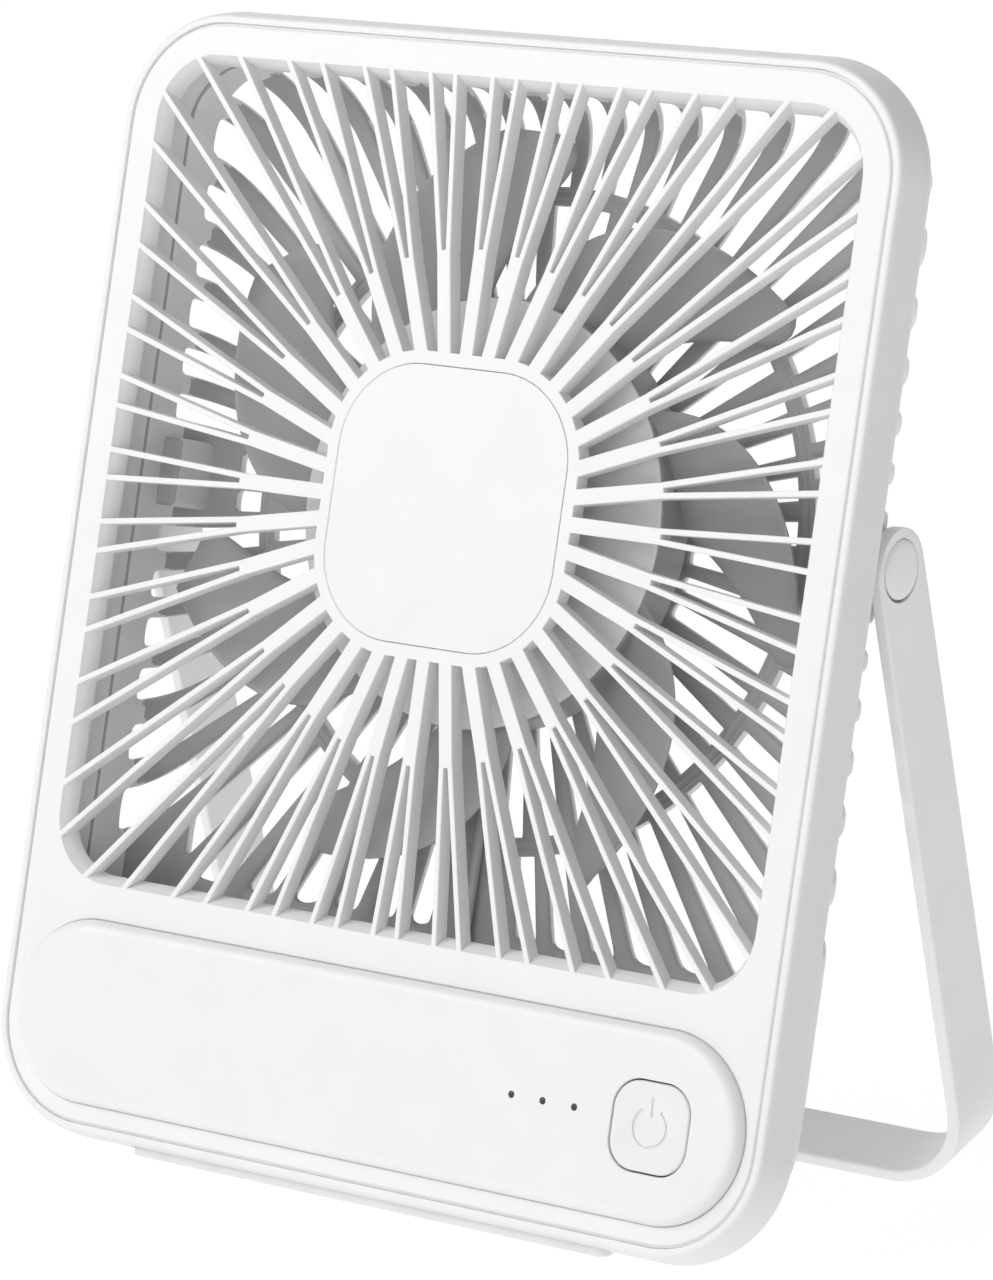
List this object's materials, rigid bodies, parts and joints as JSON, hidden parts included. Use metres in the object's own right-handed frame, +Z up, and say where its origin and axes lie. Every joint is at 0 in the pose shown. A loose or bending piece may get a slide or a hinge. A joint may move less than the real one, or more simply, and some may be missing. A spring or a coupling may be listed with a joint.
{
  "type": "desk fan",
  "caption": "Thin rectangular rechargeable desk fan leaning on a fold-out strap stand, with a square radial front grille, a pill-shaped control cover and a slotted rear shell.",
  "frame": {"origin": "centre of the footprint on the ground, midway between the front of the case and the back of the stand", "axes": "+Z up; the grille faces -Y and leans back a little; +X to the fan's right as seen from in front; the stand is open behind it"},
  "size_m": [0.1494, 0.0792, 0.1793],
  "materials": {
    "shell": "satin white moulded plastic with a very fine spark texture",
    "grille": "satin white moulded plastic",
    "cover": "smooth white plastic with a soft sheen",
    "button": "smooth white plastic, power mark pressed in",
    "led_window": "clear dark tinted light pipe",
    "blades": "smooth pale grey plastic",
    "strap": "satin white plastic strap",
    "steel": "plain turned and pressed steel",
    "brass": "plain turned brass bearing",
    "magnet": "dark bonded ferrite",
    "copper": "enamelled copper windings on a laminated core",
    "cell": "blue shrink sleeve with plain metal ends",
    "board": "green solder mask on glass fibre board",
    "black": "black plastic",
    "lead_red": "red insulated lead",
    "lead_black": "black insulated lead",
    "lamp": "milky lamp body",
    "foot": "pale grey soft rubber"
  },
  "bodies": {
    "housing": {"front_panel": "grille", "hub_cap": "cover", "control_cover": "cover", "led_window_1": "led_window", "led_window_2": "led_window", "led_window_3": "led_window", "mid_frame": "shell", "rear_cover": "shell", "stator": "copper", "motor_base": "steel", "bearing_front": "brass", "bearing_rear": "brass", "motor_screw_1": "steel", "motor_screw_2": "steel", "motor_screw_3": "steel", "battery_cell": "cell", "battery_cradle": "shell", "control_board": "board", "button_switch": "black", "usb_socket": "steel", "usb_tongue": "black", "lamp_1": "lamp", "lamp_2": "lamp", "lamp_3": "lamp", "board_screw_1": "steel", "board_screw_2": "steel", "cover_screw_1": "steel", "cover_screw_2": "steel", "battery_lead_red": "lead_red", "battery_lead_black": "lead_black", "motor_lead": "lead_black", "foot_strip": "foot", "pivot_pin_left": "steel", "pivot_pin_right": "steel", "friction_washer_left": "black", "friction_washer_right": "black"},
    "impeller": {"impeller": "blades", "rotor_cup": "steel", "magnet_ring": "magnet", "motor_shaft": "steel"},
    "button": {"power_button": "button", "switch_plunger": "black"},
    "stand": {"stand": "strap", "pivot_cap_left": "strap", "pivot_cap_right": "strap"}
  },
  "joints": [
    {"name": "impeller_spin", "type": "hinge", "parent": "housing", "child": "impeller", "pos_m": [0, -0.00249, 0.10426], "axis": [0, 0.9769, -0.2136], "continuous": true},
    {"name": "button_press", "type": "slide", "parent": "housing", "child": "button", "axis": [0, 0.9769, -0.2136], "range_m": [0, 0.0006], "stiffness_N_per_m": 1500},
    {"name": "stand_fold", "type": "hinge", "parent": "housing", "child": "stand", "pos_m": [0, 0.00212, 0.10335], "axis": [1, 0, 0], "range_deg": [-29.55, 150.45]}
  ]
}
